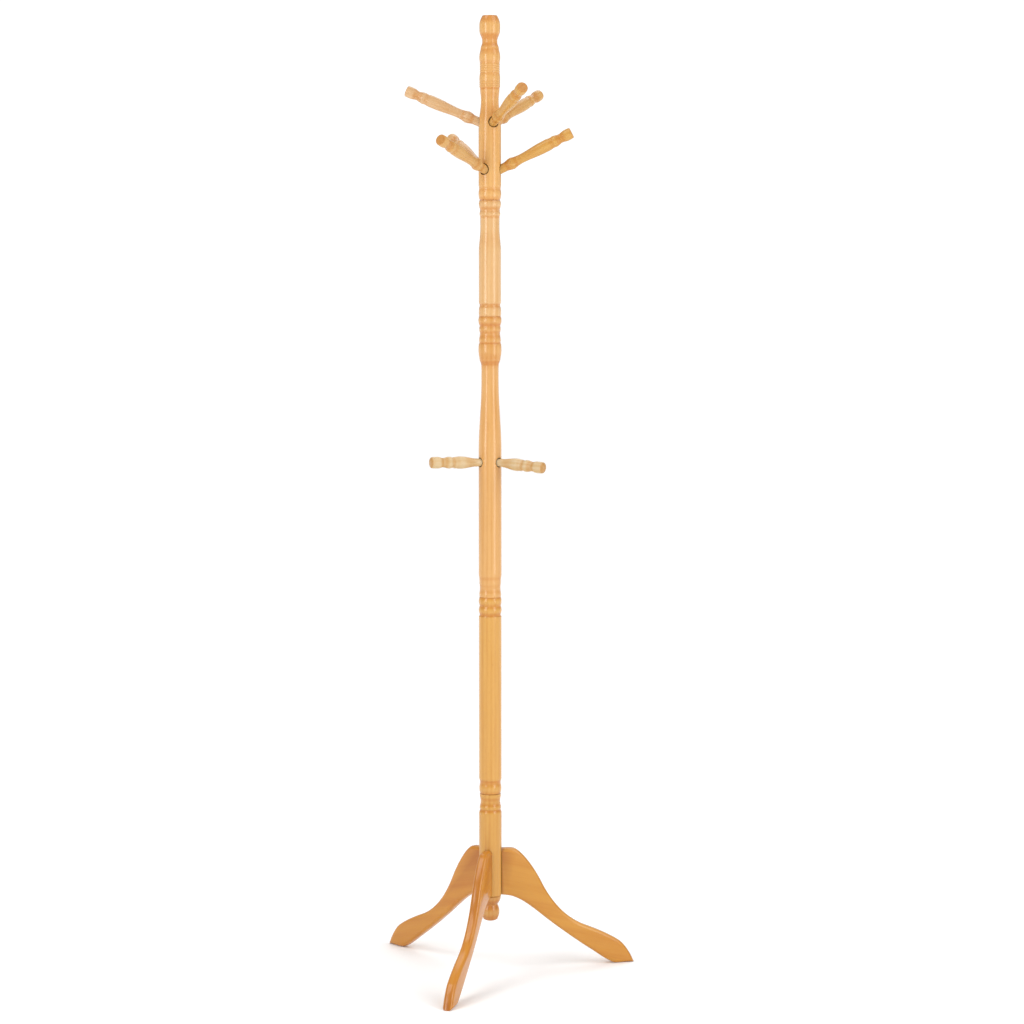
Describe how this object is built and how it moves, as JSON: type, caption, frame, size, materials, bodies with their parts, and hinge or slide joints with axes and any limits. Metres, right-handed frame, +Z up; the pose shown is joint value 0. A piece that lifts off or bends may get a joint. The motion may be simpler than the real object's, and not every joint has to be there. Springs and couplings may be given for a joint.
{
  "type": "standing coat rack",
  "caption": "Free-standing coat rack of turned wood: a sectioned post with a finial, long rising pegs near the top, short level pegs half-way up, and S-curved board legs.",
  "frame": {"origin": "on the floor, at the middle of the box round the whole rack in plan", "axes": "+Z up along the post; -Y towards the toe of the front leg; +X to the right of someone facing the front leg"},
  "size_m": [0.5004, 0.4404, 1.83],
  "materials": {
    "post_wood": "clear lacquer, semi-gloss, on honey-coloured hardwood",
    "leg_wood": "clear lacquer, semi-gloss, on slightly darker honey-coloured hardwood",
    "peg_wood": "clear lacquer, semi-gloss, on honey-coloured hardwood",
    "short_peg_wood": "clear lacquer, semi-gloss, on slightly paler hardwood",
    "zinc_steel": "bright zinc plating",
    "brass": "plain turned brass"
  },
  "bodies": {
    "root": {"top_post": "post_wood", "upper_post": "post_wood", "middle_post": "post_wood", "lower_post": "post_wood", "base_post": "post_wood", "bottom_pendant": "post_wood", "leg_right": "leg_wood", "leg_left": "leg_wood", "leg_front": "leg_wood", "upper_peg_left": "peg_wood", "upper_peg_back": "peg_wood", "upper_peg_front": "peg_wood", "lower_peg_right": "peg_wood", "lower_peg_back": "peg_wood", "lower_peg_front": "peg_wood", "short_peg_right": "short_peg_wood", "short_peg_back": "short_peg_wood", "short_peg_left": "short_peg_wood", "top_joint_stud": "zinc_steel", "upper_joint_stud": "zinc_steel", "middle_joint_stud": "zinc_steel", "lower_joint_stud": "zinc_steel", "pendant_joint_stud": "zinc_steel", "upper_peg_left_bolt": "zinc_steel", "upper_peg_back_bolt": "zinc_steel", "upper_peg_front_bolt": "zinc_steel", "lower_peg_right_bolt": "zinc_steel", "lower_peg_back_bolt": "zinc_steel", "lower_peg_front_bolt": "zinc_steel", "short_peg_right_bolt": "zinc_steel", "short_peg_back_bolt": "zinc_steel", "short_peg_left_bolt": "zinc_steel", "top_joint_insert": "brass", "upper_joint_insert": "brass", "middle_joint_insert": "brass", "lower_joint_insert": "brass", "pendant_joint_insert": "brass"}
  },
  "joints": []
}
